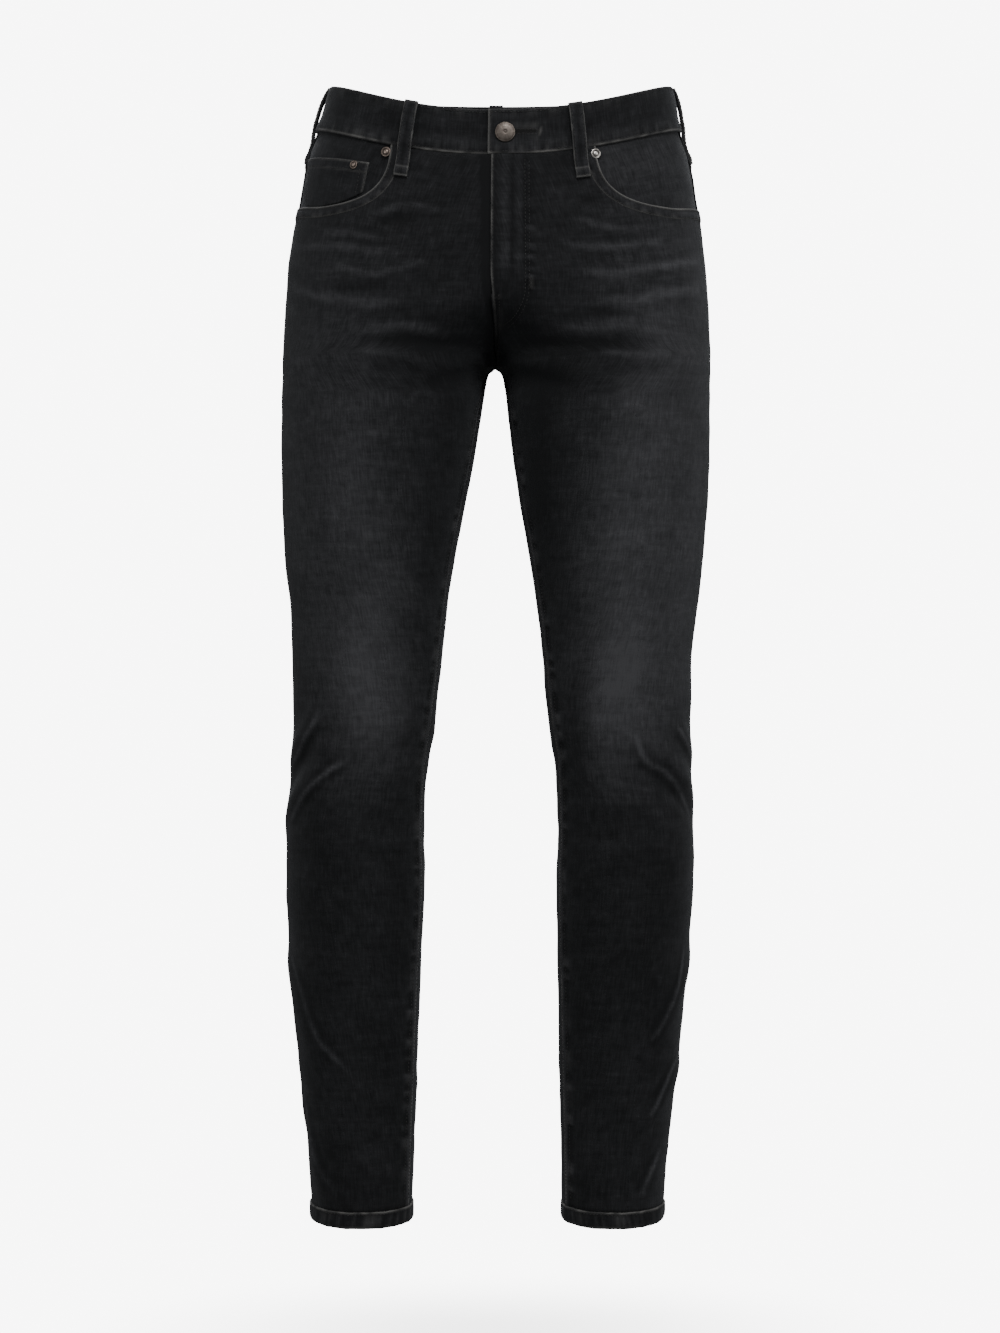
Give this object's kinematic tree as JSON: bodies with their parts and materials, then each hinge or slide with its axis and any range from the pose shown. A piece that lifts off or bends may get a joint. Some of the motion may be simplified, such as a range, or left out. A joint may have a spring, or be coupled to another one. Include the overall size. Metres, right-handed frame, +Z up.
{
  "type": "skinny jeans",
  "caption": "Slim black denim trousers in a worn, upright pose, hollow, with an open waist and hems, belt loops, curved front pockets and a buttoned fly.",
  "frame": {"origin": "middle of the waist opening, where the wearer holds the garment up", "axes": "+Z up the body, +X to the wearer's left, the front faces -Y"},
  "size_m": [0.3863, 0.2468, 1.023],
  "materials": {
    "denim": "black twill, faded on the thighs",
    "trim_denim": "black twill, worn at the edges",
    "pocket_denim": "black twill, unfaded",
    "button": "antique pewter",
    "rivet": "dark nickel"
  },
  "bodies": {
    "root": {"front_left": "denim", "back_left": "denim", "yoke_left": "denim", "facing_left": "pocket_denim", "back_pocket_left": "denim", "hem_left": "trim_denim", "front_right": "denim", "back_right": "denim", "yoke_right": "denim", "facing_right": "pocket_denim", "back_pocket_right": "denim", "hem_right": "trim_denim", "coin_pocket": "pocket_denim", "waistband": "trim_denim", "belt_loop_front_left": "trim_denim", "belt_loop_side_left": "trim_denim", "belt_loop_back": "trim_denim", "belt_loop_side_right": "trim_denim", "belt_loop_front_right": "trim_denim", "button": "button", "rivet_left": "rivet", "rivet_right": "rivet", "rivet_coin": "rivet"}
  },
  "joints": []
}
